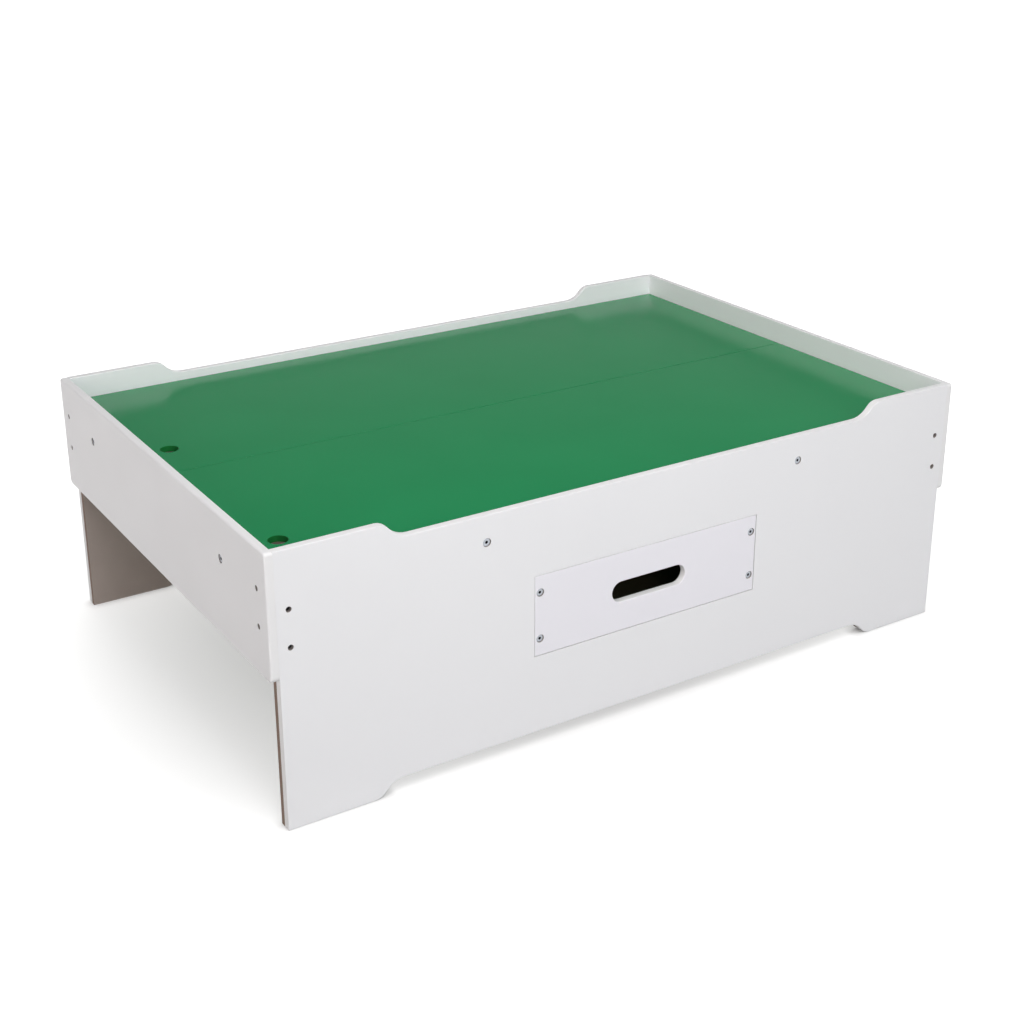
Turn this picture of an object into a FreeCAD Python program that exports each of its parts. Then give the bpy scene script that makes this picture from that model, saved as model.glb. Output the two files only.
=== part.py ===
import FreeCAD, Part
import Sketcher
import math
import os

# A low play table for toy trains. Two long panels stand on the floor and two end panels cap their ends.
# Their raised rim holds two lift-out play boards, and a drawer slides out of the front panel.
# The frame: +X to the right along the length, +Y to the back, +Z up, origin on the floor under the middle.

doc = FreeCAD.newDocument("train_table")
sheet = doc.addObject("Spreadsheet::Sheet", "sizes")
Vector = FreeCAD.Vector


class Size:
    """A length held both as a number of millimetres and as an expression on the sheet."""

    def __init__(self, value, text):
        self.value = value
        self.text = text

    def __add__(self, other):
        return Size(self.value + other.value, "(%s + %s)" % (self.text, other.text))

    def __sub__(self, other):
        return Size(self.value - other.value, "(%s - %s)" % (self.text, other.text))

    def __mul__(self, other):
        if isinstance(other, Size):
            return Size(self.value * other.value, "(%s * %s)" % (self.text, other.text))
        return Size(self.value * other, "(%s * (%r))" % (self.text, other))

    def __truediv__(self, other):
        if isinstance(other, Size):
            return Size(self.value / other.value, "(%s / %s)" % (self.text, other.text))
        return Size(self.value / other, "(%s / (%r))" % (self.text, other))

    def __neg__(self):
        return self * -1


ZERO = Size(0, "0")
WHOLE = Size(1, "1")
sheet_rows = []


def size(name, value):
    """Write one driving dimension on the sheet, name beside number, and return it as a Size."""
    sheet_rows.append(name)
    row = len(sheet_rows)
    sheet.set("A%d" % row, name)
    sheet.set("B%d" % row, str(value))
    sheet.setAlias("B%d" % row, name)
    return Size(value, "sizes." + name)


# The whole table, and the boards that its outside is cut from.
table_length = size("table_length", 1300)
table_width = size("table_width", 870)
table_height = size("table_height", 440)
panel_thickness = size("panel_thickness", 13)

# Long panels: the top edge dips between its ends, and the bottom edge arches between two feet.
dip_depth = size("dip_depth", 25)
dip_length = size("dip_length", 853)
dip_run = size("dip_run", 52)
arch_height = size("arch_height", 25)
arch_length = size("arch_length", 890)
arch_run = size("arch_run", 52)
crest_share = size("crest_share", 0.38)
long_arris_round = size("long_arris_round", 1.6)

# Raw linings, glued behind the long panels up to the play boards and notched round the corner posts.
lining_thickness = size("lining_thickness", 10)
notch_gap = size("notch_gap", 1)

# End panels: aprons with rounded corners that stop well above the floor.
end_panel_height = size("end_panel_height", 199)
end_top_radius = size("end_top_radius", 5)
end_bottom_radius = size("end_bottom_radius", 10)
end_arris_round = size("end_arris_round", 3)
end_inner_round = size("end_inner_round", 0.5)

# Play boards: the rim stands above them, and each has one finger hole to lift it by.
rim_height = size("rim_height", 40)
board_thickness = size("board_thickness", 10)
board_gap = size("board_gap", 1.2)
seam_gap = size("seam_gap", 1.2)
board_arris_round = size("board_arris_round", 0.4)
finger_hole_radius = size("finger_hole_radius", 15)
finger_hole_from_end = size("finger_hole_from_end", 57.5)
finger_hole_from_edge = size("finger_hole_from_edge", 101)

# Square lumber for the corner posts, which are screwed from two sides, the cross beams and the end ledgers.
lumber_size = size("lumber_size", 38)
post_height = size("post_height", 138)
end_screw_drop = size("end_screw_drop", 13)
screw_stagger = size("screw_stagger", 27.5)
screw_pitch = size("screw_pitch", 58.5)
beam_spacing = size("beam_spacing", 600)
ledger_bolt_spacing = size("ledger_bolt_spacing", 552)

# Bolts, barrel nuts and dowels of the beams and ledgers.
bolt_radius = size("bolt_radius", 3)
bolt_head_radius = size("bolt_head_radius", 6.3)
bolt_head_height = size("bolt_head_height", 3)
bolt_recess_radius = size("bolt_recess_radius", 7)
bolt_recess_depth = size("bolt_recess_depth", 4.6)
beam_bolt_reach = size("beam_bolt_reach", 37)
ledger_bolt_reach = size("ledger_bolt_reach", 27)
nut_radius = size("nut_radius", 5)
nut_length = size("nut_length", 24)
beam_nut_inset = size("beam_nut_inset", 30)
dowel_radius = size("dowel_radius", 3)
dowel_length = size("dowel_length", 22)
dowel_drop = size("dowel_drop", 10)
bolt_clearance = size("bolt_clearance", 0.3)
tight_clearance = size("tight_clearance", 0.05)

# Corner screws, sunk deep in counterbores.
corner_screw_radius = size("corner_screw_radius", 2.2)
corner_screw_length = size("corner_screw_length", 31)
corner_head_radius = size("corner_head_radius", 3.8)
corner_head_height = size("corner_head_height", 2.5)
corner_recess_radius = size("corner_recess_radius", 4.5)
corner_recess_depth = size("corner_recess_depth", 7.5)

# Drawer: an inset front that closes against the lining, and a box of thinner boards behind it.
drawer_width = size("drawer_width", 432)
drawer_height = size("drawer_height", 135)
drawer_above_floor = size("drawer_above_floor", 158.5)
drawer_front_gap = size("drawer_front_gap", 1)
drawer_arris_round = size("drawer_arris_round", 1)
hand_slot_length = size("hand_slot_length", 143)
hand_slot_height = size("hand_slot_height", 35)
hand_slot_round = size("hand_slot_round", 1.5)
side_thickness = size("side_thickness", 12)
side_height = size("side_height", 110)
side_length = size("side_length", 520)
side_setback = size("side_setback", 3.5)
side_arris_round = size("side_arris_round", 1.5)
rebate_width = size("rebate_width", 2)
bottom_thickness = size("bottom_thickness", 4)
bottom_rise = size("bottom_rise", 8)
bottom_groove_depth = size("bottom_groove_depth", 5)
groove_clearance = size("groove_clearance", 0.2)

# Screws of the drawer, alike at the front and at the back.
drawer_screw_pitch = size("drawer_screw_pitch", 78)
drawer_screw_radius = size("drawer_screw_radius", 2.2)
drawer_screw_length = size("drawer_screw_length", 40)
drawer_head_radius = size("drawer_head_radius", 6)
drawer_head_height = size("drawer_head_height", 3)
drawer_recess_radius = size("drawer_recess_radius", 6.8)
drawer_recess_depth = size("drawer_recess_depth", 4.6)
back_screw_length = size("back_screw_length", 30)
back_head_radius = size("back_head_radius", 4)

# Runners: bars with a tongue that the grooved drawer sides slide on, and the stops that end the travel.
tongue_height = size("tongue_height", 16)
tongue_depth = size("tongue_depth", 6)
tongue_clearance = size("tongue_clearance", 0.3)
runner_width = size("runner_width", 20)
runner_height = size("runner_height", 45)
runner_gap = size("runner_gap", 0.5)
runner_dowel_pitch = size("runner_dowel_pitch", 24)
stop_travel = size("stop_travel", 350)
stop_play = size("stop_play", 0.5)
stop_length = size("stop_length", 40)
stop_height = size("stop_height", 24)
stop_arris_round = size("stop_arris_round", 2)
stop_screw_radius = size("stop_screw_radius", 1.6)
stop_screw_length = size("stop_screw_length", 38)
stop_head_radius = size("stop_head_radius", 3.2)

# Parts of the screws and bolts that are alike in all of them.
socket_width = size("socket_width", 4.6)
socket_depth = size("socket_depth", 2.2)
head_chamfer = size("head_chamfer", 0.5)
point_length = size("point_length", 5)
cut_overrun = size("cut_overrun", 2)

doc.recompute()

# Levels and faces that several pieces share.
half_length = table_length / 2
half_width = table_width / 2
end_face = half_length - panel_thickness
long_face = half_width - panel_thickness
lining_face = long_face - lining_thickness
board_top = table_height - rim_height
ledge = board_top - board_thickness
bolt_level = ledge - lumber_size / 2
beam_bottom = ledge - lumber_size
post_bottom = ledge - post_height
beam_place = beam_spacing / 2
ledger_bolt_place = ledger_bolt_spacing / 2
post_middle_x = end_face - lumber_size / 2
post_middle_y = long_face - lumber_size / 2
end_screw_levels = [ledge - end_screw_drop, ledge - end_screw_drop - screw_pitch]
long_screw_levels = [level - screw_stagger for level in end_screw_levels]
drawer_middle = drawer_above_floor + drawer_height / 2
side_bottom = drawer_middle - side_height / 2
side_top = drawer_middle + side_height / 2
side_outside = drawer_width / 2 - side_setback
side_inside = side_outside - side_thickness
side_middle = side_outside - side_thickness / 2
side_end = side_length - long_face
groove_bottom = side_bottom + bottom_rise
groove_top = groove_bottom + bottom_thickness + groove_clearance * 2
drawer_screw_levels = [drawer_middle - drawer_screw_pitch / 2, drawer_middle + drawer_screw_pitch / 2]
runner_inside = side_outside + runner_gap
runner_dowel_x = runner_inside + runner_width - runner_width / 3
runner_dowel_levels = [drawer_middle - runner_dowel_pitch / 2, drawer_middle + runner_dowel_pitch / 2]

SIDES = (-1, 1)
FRONT = Vector(0, -1, 0)
BACK = Vector(0, 1, 0)
UP = Vector(0, 0, 1)
OTHER_BEND = {"left": "right", "right": "left"}

# How a sketch constraint counts the points of a curve, and its own origin as a curve and a point of it.
POINTS = ("whole", "first", "last", "centre")
SKETCH_ORIGIN = (-1, 1)
same_place = 1e-5
pieces = []


def keep(piece, label):
    """Give a finished piece its label and put it on the list of pieces to write."""
    piece.Label = label
    pieces.append(piece)
    return piece


def place(piece, x, y, z):
    """Bind a piece's position to sheet sizes."""
    for axis, reach in zip("xyz", (x, y, z)):
        piece.setExpression("Placement.Base." + axis, reach.text)


def turn(piece, axis, degrees):
    """Turn a piece about an axis through its own origin."""
    piece.Placement = FreeCAD.Placement(Vector(0, 0, 0), FreeCAD.Rotation(axis, degrees))


def point_at(piece, direction):
    """Turn a piece so that its own +Z points along a direction."""
    piece.Placement = FreeCAD.Placement(Vector(0, 0, 0), FreeCAD.Rotation(UP, direction))


def block(name, low, high):
    """A plain box between two corners."""
    box = doc.addObject("Part::Box", name)
    for side, bottom, top in zip(("Length", "Width", "Height"), low, high):
        box.setExpression(side, (top - bottom).text)
    place(box, *low)
    return box


def rod(name, start, direction, radius, length):
    """A round bar from a point along a direction."""
    cylinder = doc.addObject("Part::Cylinder", name)
    cylinder.setExpression("Radius", radius.text)
    cylinder.setExpression("Height", length.text)
    point_at(cylinder, direction)
    place(cylinder, *start)
    return cylinder


def bored(name, blank, tools):
    """A blank with holes cut by round bars."""
    piece = doc.addObject("Part::Cut", name)
    piece.Base = blank
    if len(tools) == 1:
        piece.Tool = tools[0]
        return piece
    drills = doc.addObject("Part::MultiFuse", name + "_drills")
    drills.Shapes = tools
    piece.Tool = drills
    return piece


def new_sketch(body, role, name, offset=ZERO):
    """A sketch on one of a body's origin planes, moved along the plane's normal by an offset."""
    sketch = body.newObject("Sketcher::SketchObject", name)
    plane = [feature for feature in body.Origin.OriginFeatures if feature.Role == role][0]
    sketch.AttachmentSupport = [(plane, "")]
    sketch.MapMode = "FlatFace"
    sketch.setExpression("AttachmentOffset.Base.z", offset.text)
    return sketch


def hold(sketch, constraint, reach):
    """Add a dimension to a sketch and bind it to sheet sizes."""
    index = sketch.addConstraint(constraint)
    sketch.setExpression("Constraints[%d]" % index, reach.text)


def pin(sketch, curve, end, spot):
    """Hold an end or the centre of a sketch curve at a spot."""
    for kind, reach in zip(("DistanceX", "DistanceY"), spot):
        hold(sketch, Sketcher.Constraint(kind, *SKETCH_ORIGIN, curve, POINTS.index(end), reach.value), reach)


def draw_edge(sketch, start, corner):
    """Draw one line or arc, and return it with the names of its points where it sets out and arrives."""
    begin = Vector(start[0].value, start[1].value, 0)
    finish = Vector(corner[0].value, corner[1].value, 0)
    if len(corner) == 2:
        return sketch.addGeometry(Part.LineSegment(begin, finish), False), "first", "last"
    radius, bend = corner[2:]
    chord = finish - begin
    left = Vector(-chord.y, chord.x, 0).normalize()
    rise = math.sqrt(max(0, radius.value ** 2 - (chord.Length / 2) ** 2))
    centre = (begin + finish) * 0.5 + (left * rise if bend == "left" else left * -rise)
    ends = (begin, finish) if bend == "left" else (finish, begin)
    angles = [math.atan2(end.y - centre.y, end.x - centre.x) for end in ends]
    circle = Part.Circle(centre, UP, radius.value)
    curve = sketch.addGeometry(Part.ArcOfCircle(circle, angles[0], angles[1]), False)
    hold(sketch, Sketcher.Constraint("Radius", curve, radius.value), radius)
    return (curve, "first", "last") if bend == "left" else (curve, "last", "first")


def draw_outline(sketch, corners):
    """Draw a closed outline. A corner is x and y, reached by a line, or x, y, radius and "left" or "right",
    reached by an arc that turns that way."""
    edges = []
    start = corners[-1]
    for corner in corners:
        edges.append(draw_edge(sketch, start, corner))
        start = corner
    for here, following in zip(edges, edges[1:] + edges[:1]):
        arrives = POINTS.index(here[2])
        sets_out = POINTS.index(following[1])
        sketch.addConstraint(Sketcher.Constraint("Coincident", here[0], arrives, following[0], sets_out))
    for edge, corner in zip(edges, corners):
        pin(sketch, edge[0], edge[2], corner[:2])


def s_bend(start, finish, both_radii, shares, bend):
    """Two arcs from one level to another, level where they leave and land. They share the sum of their radii,
    and so the way between the levels, by the given shares."""
    middle = tuple(here + (there - here) * shares[0] for here, there in zip(start, finish))
    radii = [both_radii * share for share in shares]
    return [middle + (radii[0], bend), finish + (radii[1], OTHER_BEND[bend])]


def s_radii(run, rise):
    """The sum of the radii of the two arcs of an S bend, from how far it runs and rises."""
    return (run * run + rise * rise) / (rise * 2)


def rectangle(low, high):
    """The corners of a plain rectangle."""
    return [low, (high[0], low[1]), high, (low[0], high[1])]


def pad(body, sketch, length, reverse=False):
    """Raise a sketch into a solid along its plane's normal, or against it."""
    feature = body.newObject("PartDesign::Pad", sketch.Name + "_pad")
    feature.Profile = sketch
    feature.Reversed = reverse
    feature.setExpression("Length", length.text)
    return feature


def pocket(body, sketch, depth, reverse=False):
    """Cut a sketch into a solid against its plane's normal, or along it."""
    feature = body.newObject("PartDesign::Pocket", sketch.Name + "_cut")
    feature.Profile = sketch
    feature.Reversed = reverse
    feature.setExpression("Length", depth.text)
    return feature


def drill(body, role, name, spots, radius, depth, offset=ZERO, reverse=False):
    """Cut round holes of one radius and depth into a body."""
    sketch = new_sketch(body, role, name, offset)
    for spot in spots:
        circle = Part.Circle(Vector(spot[0].value, spot[1].value, 0), UP, radius.value)
        curve = sketch.addGeometry(circle, False)
        pin(sketch, curve, "centre", spot)
        hold(sketch, Sketcher.Constraint("Radius", curve, radius.value), radius)
    return pocket(body, sketch, depth, reverse)


def ease(body, name, radius, wanted):
    """Round the edges of a body that a test picks by the ends and the middle of each edge."""
    doc.recompute()
    base = body.Tip
    picked = []
    for number, edge in enumerate(base.Shape.Edges, 1):
        spots = [vertex.Point for vertex in edge.Vertexes]
        spots.append(edge.valueAt((edge.FirstParameter + edge.LastParameter) / 2))
        if all(wanted(spot) for spot in spots):
            picked.append("Edge%d" % number)
    feature = body.newObject("PartDesign::Fillet", name)
    feature.Base = (base, picked)
    feature.setExpression("Radius", radius.text)
    return feature


def near(value, reach):
    """Whether a coordinate lies on a face at a given reach."""
    return abs(value - reach.value) < same_place


crest_first_shares = (crest_share, WHOLE - crest_share)
hollow_first_shares = (WHOLE - crest_share, crest_share)
dip_radii = s_radii(dip_run, dip_depth)
arch_radii = s_radii(arch_run, arch_height)
dip_low = dip_length / 2
dip_high = dip_low + dip_run
arch_half = arch_length / 2
foot = arch_half + arch_run
dipped = table_height - dip_depth


def feet_corners():
    """The bottom edge of a long panel or its lining, left to right: foot, arch, foot."""
    corners = [(-end_face, ZERO), (-foot, ZERO)]
    corners += s_bend((-foot, ZERO), (-arch_half, arch_height), arch_radii, crest_first_shares, "left")
    corners += [(arch_half, arch_height)]
    corners += s_bend((arch_half, arch_height), (foot, ZERO), arch_radii, hollow_first_shares, "right")
    return corners + [(end_face, ZERO)]


def rim_corners():
    """The top edge of a long panel, right to left: full height, dip, full height."""
    corners = [(end_face, table_height), (dip_high, table_height)]
    corners += s_bend((dip_high, table_height), (dip_low, dipped), dip_radii, crest_first_shares, "left")
    corners += [(-dip_low, dipped)]
    corners += s_bend((-dip_low, dipped), (-dip_high, table_height), dip_radii, hollow_first_shares, "right")
    return corners + [(-end_face, table_height)]


bolt_spots = [(beam_place * side, bolt_level) for side in SIDES]
dowel_spots = [(beam_place * side, bolt_level - dowel_drop) for side in SIDES]
long_screw_spots = [(post_middle_x * side, level) for side in SIDES for level in long_screw_levels]
runner_dowel_spots = [(runner_dowel_x * side, level) for side in SIDES for level in runner_dowel_levels]
bolt_hole = bolt_radius + bolt_clearance
screw_hole = corner_screw_radius + bolt_clearance
dowel_hole = dowel_radius + tight_clearance
through_panel = panel_thickness + cut_overrun
through_lining = lining_thickness + cut_overrun

# The drawer front fills the opening of the long panel, and closes against the rim of the lining's passage.
opening_low = (-(drawer_width / 2 + drawer_front_gap), drawer_above_floor - drawer_front_gap)
opening_high = (drawer_width / 2 + drawer_front_gap, drawer_above_floor + drawer_height + drawer_front_gap)
passage_low = (rebate_width - drawer_width / 2, drawer_above_floor + rebate_width)
passage_high = (drawer_width / 2 - rebate_width, drawer_above_floor + drawer_height - rebate_width)


def wall_body(label, facing_back, level):
    """A body whose XZ plane lies at a given depth behind the table's long side and faces outwards."""
    body = doc.addObject("PartDesign::Body", label)
    if facing_back:
        turn(body, UP, 180)
    place(body, ZERO, level if facing_back else -level, ZERO)
    return keep(body, label)


def long_panel(label, facing_back):
    """A long panel with feet, dipped rim, and the recessed holes of its bolts and corner screws. Its upright
    ends stay square, because they butt against the end panels."""
    body = wall_body(label, facing_back, long_face)
    sketch = new_sketch(body, "XZ_Plane", label + "_outline")
    draw_outline(sketch, feet_corners() + rim_corners())
    pad(body, sketch, panel_thickness)

    def on_arris(spot):
        outside = near(spot.y, -panel_thickness)
        inside_rim = near(spot.y, ZERO) and spot.z > board_top.value
        top_or_foot = near(spot.z, table_height) or near(spot.z, ZERO)
        square_end = near(abs(spot.x), end_face) and not top_or_foot
        return (outside or inside_rim) and not square_end

    ease(body, label + "_arris", long_arris_round, on_arris)
    drill(body, "XZ_Plane", label + "_bolt_holes", bolt_spots, bolt_hole, through_panel, reverse=True)
    drill(body, "XZ_Plane", label + "_bolt_recesses", bolt_spots, bolt_recess_radius, bolt_recess_depth,
          panel_thickness)
    drill(body, "XZ_Plane", label + "_screw_holes", long_screw_spots, screw_hole, through_panel, reverse=True)
    drill(body, "XZ_Plane", label + "_screw_recesses", long_screw_spots, corner_recess_radius,
          corner_recess_depth, panel_thickness)
    return body


def lining(label, facing_back):
    """A raw lining with the same feet, notched round the posts, its top edge a ledge for a play board."""
    body = wall_body(label, facing_back, lining_face)
    sketch = new_sketch(body, "XZ_Plane", label + "_outline")
    notch_low = post_bottom - notch_gap
    notch_side = end_face - lumber_size - notch_gap
    draw_outline(sketch, feet_corners() + [
        (end_face, notch_low),
        (notch_side, notch_low),
        (notch_side, ledge),
        (-notch_side, ledge),
        (-notch_side, notch_low),
        (-end_face, notch_low),
    ])
    pad(body, sketch, lining_thickness)
    drill(body, "XZ_Plane", label + "_bolt_holes", bolt_spots, bolt_hole, through_lining, reverse=True)
    drill(body, "XZ_Plane", label + "_dowel_holes", dowel_spots + runner_dowel_spots, dowel_hole,
          lining_thickness, reverse=True)
    return body


def cut_opening(body, low, high, depth):
    """Cut the drawer's way through a wall."""
    sketch = new_sketch(body, "XZ_Plane", body.Label + "_opening")
    draw_outline(sketch, rectangle(low, high))
    pocket(body, sketch, depth, reverse=True)


front_panel = long_panel("front_panel", False)
cut_opening(front_panel, opening_low, opening_high, through_panel)
front_lining = lining("front_lining", False)
cut_opening(front_lining, passage_low, passage_high, through_lining)
long_panel("back_panel", True)
lining("back_lining", True)


# End panels cap the ends of the long panels and stop above the floor.
end_low = table_height - end_panel_height
ledger_bolt_spots = [(ledger_bolt_place * side, bolt_level) for side in SIDES]
end_screw_spots = [(post_middle_y * side, level) for side in SIDES for level in end_screw_levels]


def end_corners():
    """The outline of an end panel, a rectangle with larger rounds below than above."""
    low, high = -half_width, half_width
    return [
        (high - end_bottom_radius, end_low),
        (high, end_low + end_bottom_radius, end_bottom_radius, "left"),
        (high, table_height - end_top_radius),
        (high - end_top_radius, table_height, end_top_radius, "left"),
        (low + end_top_radius, table_height),
        (low, table_height - end_top_radius, end_top_radius, "left"),
        (low, end_low + end_bottom_radius),
        (low + end_bottom_radius, end_low, end_bottom_radius, "left"),
    ]


def end_panel(label, facing_left):
    """An end panel with the recessed holes of its ledger bolts and corner screws."""
    body = doc.addObject("PartDesign::Body", label)
    if facing_left:
        turn(body, UP, 180)
    place(body, -end_face if facing_left else end_face, ZERO, ZERO)
    sketch = new_sketch(body, "YZ_Plane", label + "_outline")
    draw_outline(sketch, end_corners())
    pad(body, sketch, panel_thickness)
    ease(body, label + "_arris", end_arris_round, lambda spot: near(spot.x, panel_thickness))
    ease(body, label + "_inner_arris", end_inner_round,
         lambda spot: near(spot.x, ZERO) and near(spot.z, table_height))
    drill(body, "YZ_Plane", label + "_bolt_holes", ledger_bolt_spots, bolt_hole, through_panel, reverse=True)
    drill(body, "YZ_Plane", label + "_bolt_recesses", ledger_bolt_spots, bolt_recess_radius,
          bolt_recess_depth, panel_thickness)
    drill(body, "YZ_Plane", label + "_screw_holes", end_screw_spots, screw_hole, through_panel, reverse=True)
    drill(body, "YZ_Plane", label + "_screw_recesses", end_screw_spots, corner_recess_radius,
          corner_recess_depth, panel_thickness)
    return keep(body, label)


end_panel("left_end_panel", True)
end_panel("right_end_panel", False)


# Corner posts tie each end panel to a long panel, with staggered screws from the two sides.
pilot_hole = corner_screw_radius + tight_clearance
pilot_depth = corner_recess_depth + corner_screw_length + cut_overrun - panel_thickness

for end_name, end in (("left", -1), ("right", 1)):
    for side_name, side in (("front", -1), ("back", 1)):
        label = "%s_%s_corner_post" % (side_name, end_name)
        low_x = post_middle_x * end - lumber_size / 2
        low_y = post_middle_y * side - lumber_size / 2
        blank = block(label + "_blank", (low_x, low_y, post_bottom),
                      (low_x + lumber_size, low_y + lumber_size, ledge))
        pilots = []
        for index, level in enumerate(long_screw_levels):
            start = (post_middle_x * end, long_face * side, level)
            pilots.append(rod("%s_long_pilot_%d" % (label, index), start, BACK * -side, pilot_hole,
                              pilot_depth))
        for index, level in enumerate(end_screw_levels):
            start = (end_face * end, post_middle_y * side, level)
            pilots.append(rod("%s_end_pilot_%d" % (label, index), start, Vector(-end, 0, 0), pilot_hole,
                              pilot_depth))
        keep(bored(label, blank, pilots), label)


# Cross beams run from lining to lining under the boards, a bolt, a barrel nut and a dowel at each end.
nut_hole = nut_radius + tight_clearance
nut_top = bolt_level + nut_length / 2
nut_hole_depth = nut_top - beam_bottom + tight_clearance
dowel_in_beam = dowel_length - lining_thickness + tight_clearance

for end_name, end in (("left", -1), ("right", 1)):
    label = end_name + "_cross_beam"
    middle = beam_place * end
    low = (middle - lumber_size / 2, -lining_face, beam_bottom)
    high = (middle + lumber_size / 2, lining_face, ledge)
    tools = []
    for side_name, side in (("front", -1), ("back", 1)):
        name = "%s_%s" % (label, side_name)
        inwards = BACK * -side
        start = (middle, lining_face * side, bolt_level)
        tools.append(rod(name + "_bolt_hole", start, inwards, bolt_hole, beam_bolt_reach + cut_overrun))
        start = (middle, lining_face * side, bolt_level - dowel_drop)
        tools.append(rod(name + "_dowel_hole", start, inwards, dowel_hole, dowel_in_beam))
        start = (middle, (lining_face - beam_nut_inset) * side, beam_bottom)
        tools.append(rod(name + "_nut_hole", start, UP, nut_hole, nut_hole_depth))
    keep(bored(label, block(label + "_blank", low, high), tools), label)


# End ledgers lie against the end panels between the corner posts.
ledger_end = long_face - lumber_size

for end_name, end in (("left", -1), ("right", 1)):
    label = end_name + "_end_ledger"
    low_x = post_middle_x * end - lumber_size / 2
    low = (low_x, -ledger_end, beam_bottom)
    high = (low_x + lumber_size, ledger_end, ledge)
    tools = []
    for side_name, side in (("front", -1), ("back", 1)):
        name = "%s_%s" % (label, side_name)
        start = (end_face * end, ledger_bolt_place * side, bolt_level)
        tools.append(rod(name + "_bolt_hole", start, Vector(-end, 0, 0), bolt_hole,
                         ledger_bolt_reach + cut_overrun))
        start = (post_middle_x * end, ledger_bolt_place * side, beam_bottom)
        tools.append(rod(name + "_nut_hole", start, UP, nut_hole, nut_hole_depth))
    keep(bored(label, block(label + "_blank", low, high), tools), label)


# Play boards lie on the linings, posts, ledgers and beams, and meet along the middle.
board_end = end_face - board_gap
board_depth = long_face - board_gap - seam_gap / 2
finger_hole_spot = (finger_hole_from_end - board_end, finger_hole_from_edge)


def play_board(label, front_edge):
    """One play board with its finger hole, placed by its front edge."""
    body = doc.addObject("PartDesign::Body", label)
    place(body, ZERO, front_edge, ledge)
    sketch = new_sketch(body, "XY_Plane", label + "_outline")
    draw_outline(sketch, rectangle((-board_end, ZERO), (board_end, board_depth)))
    pad(body, sketch, board_thickness)
    drill(body, "XY_Plane", label + "_finger_hole", [finger_hole_spot], finger_hole_radius,
          board_thickness + cut_overrun, reverse=True)
    ease(body, label + "_arris", board_arris_round, lambda spot: near(spot.z, board_thickness))
    return keep(body, label)


play_board("front_play_board", -(long_face - board_gap))
play_board("back_play_board", seam_gap / 2)


# Drawer front, cut from the same board as the long panel and flush with it.
slot_round = hand_slot_height / 2
slot_half = hand_slot_length / 2
slot_straight = slot_half - slot_round
slot_low = drawer_middle - slot_round
slot_high = drawer_middle + slot_round
front_screw_spots = [(side_middle * side, level) for side in SIDES for level in drawer_screw_levels]
groove_half = side_inside + bottom_groove_depth

drawer_front = wall_body("drawer_front", False, long_face)
front_outline = new_sketch(drawer_front, "XZ_Plane", "drawer_front_outline")
draw_outline(front_outline, rectangle((-drawer_width / 2, drawer_above_floor),
                                      (drawer_width / 2, drawer_above_floor + drawer_height)))
pad(drawer_front, front_outline, panel_thickness)
slot_sketch = new_sketch(drawer_front, "XZ_Plane", "hand_slot_outline")
draw_outline(slot_sketch, [
    (slot_straight, slot_low),
    (slot_half, drawer_middle, slot_round, "left"),
    (slot_straight, slot_high, slot_round, "left"),
    (-slot_straight, slot_high),
    (-slot_half, drawer_middle, slot_round, "left"),
    (-slot_straight, slot_low, slot_round, "left"),
])
pocket(drawer_front, slot_sketch, through_panel, reverse=True)
ease(drawer_front, "hand_slot_arris", hand_slot_round,
     lambda spot: abs(spot.x) < (side_inside + slot_half).value / 2
     and (near(spot.y, ZERO) or near(spot.y, -panel_thickness)))
ease(drawer_front, "drawer_front_arris", drawer_arris_round,
     lambda spot: near(spot.y, -panel_thickness)
     and (near(abs(spot.x), drawer_width / 2)
          or near(spot.z, drawer_above_floor)
          or near(spot.z, drawer_above_floor + drawer_height)))
drill(drawer_front, "XZ_Plane", "drawer_front_screw_holes", front_screw_spots,
      drawer_screw_radius + bolt_clearance, through_panel, reverse=True)
drill(drawer_front, "XZ_Plane", "drawer_front_screw_recesses", front_screw_spots, drawer_recess_radius,
      drawer_recess_depth, panel_thickness)
groove_sketch = new_sketch(drawer_front, "XZ_Plane", "drawer_front_groove")
draw_outline(groove_sketch, rectangle((-groove_half, groove_bottom), (groove_half, groove_top)))
pocket(drawer_front, groove_sketch, bottom_groove_depth, reverse=True)


# Drawer sides, grooved outside for the runners and inside for the bottom.
runner_groove = side_outside - tongue_depth + runner_gap - tongue_clearance
runner_groove_low = drawer_middle - tongue_height / 2 - tongue_clearance
runner_groove_high = drawer_middle + tongue_height / 2 + tongue_clearance
back_middle = side_length - side_thickness / 2
back_screw_spots = [(back_middle, level) for level in drawer_screw_levels]
drawer_pilot = drawer_screw_radius + tight_clearance
front_pilot_depth = drawer_recess_depth + drawer_screw_length + cut_overrun - panel_thickness
back_pilot_depth = drawer_recess_depth + back_screw_length + cut_overrun - side_thickness

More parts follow.
